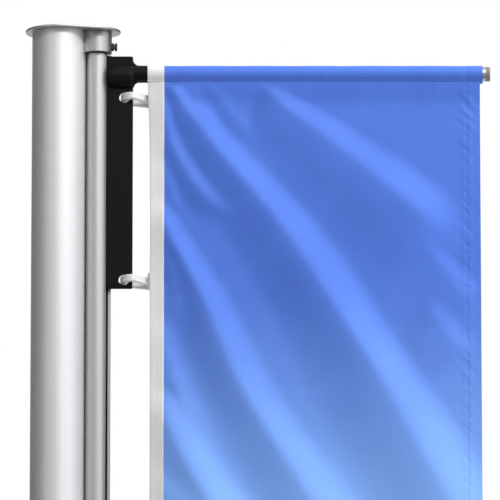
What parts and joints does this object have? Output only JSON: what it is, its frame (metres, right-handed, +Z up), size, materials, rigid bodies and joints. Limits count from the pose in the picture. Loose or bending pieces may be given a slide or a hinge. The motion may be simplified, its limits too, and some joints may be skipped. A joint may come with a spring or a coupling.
{
  "type": "flagpole with swivelling banner boom",
  "caption": "Aluminium flagpole with a slotted hoist tube turning beside the mast; a black carriage slides on it and carries a boom that holds a blue banner out sideways",
  "frame": {"origin": "centre of the underside of the base flange, on the mast's axis, at ground level", "axes": "+Z up along the mast, +X along the boom at rest, so the banner is seen face on from -Y"},
  "size_m": [0.9225, 0.24, 5],
  "materials": {
    "anodised_aluminium": "natural satin anodised",
    "turned_aluminium": "turned",
    "black_polyamide": "moulded, fine grain",
    "blackened_steel": "blackened",
    "grey_plug_plastic": "moulded",
    "white_acetal": "moulded, semi-gloss",
    "white_polyester_tape": "woven tape",
    "blue_polyester": "satin woven polyester"
  },
  "bodies": {
    "mast": {"base_flange": "anodised_aluminium", "base_collar": "anodised_aluminium", "main_pole": "anodised_aluminium", "cap_plate": "anodised_aluminium", "upper_bearing": "anodised_aluminium", "upper_bush": "black_polyamide", "lock_screw": "blackened_steel", "lock_nut": "blackened_steel", "lower_bearing": "anodised_aluminium", "lower_bush": "black_polyamide", "buffer_strip": "black_polyamide"},
    "hoist_tube_body": {"hoist_tube": "anodised_aluminium", "glide_strip": "black_polyamide", "upper_end_plug": "turned_aluminium", "lower_end_plug": "turned_aluminium"},
    "banner_carriage": {"carriage_plate": "black_polyamide", "boom_tube": "anodised_aluminium", "boom_end_plug": "grey_plug_plastic", "header_tape": "white_polyester_tape", "banner_hem": "blue_polyester", "banner_panel": "blue_polyester", "snap_hook_1": "white_acetal", "snap_hook_2": "white_acetal", "snap_hook_3": "white_acetal", "snap_hook_4": "white_acetal", "snap_hook_5": "white_acetal", "hook_webbing_1": "white_polyester_tape", "hook_webbing_2": "white_polyester_tape", "hook_webbing_3": "white_polyester_tape", "hook_webbing_4": "white_polyester_tape", "hook_webbing_5": "white_polyester_tape", "glider_1": "black_polyamide", "glider_2": "black_polyamide", "glider_3": "black_polyamide"}
  },
  "joints": [
    {"name": "banner_swivel", "type": "hinge", "parent": "mast", "child": "hoist_tube_body", "pos_m": [0.0702, 0, 0], "axis": [0, 0, 1], "range_deg": [-90, 90]},
    {"name": "banner_hoist", "type": "slide", "parent": "hoist_tube_body", "child": "banner_carriage", "axis": [0, 0, -1], "range_m": [0, 2.67]}
  ]
}
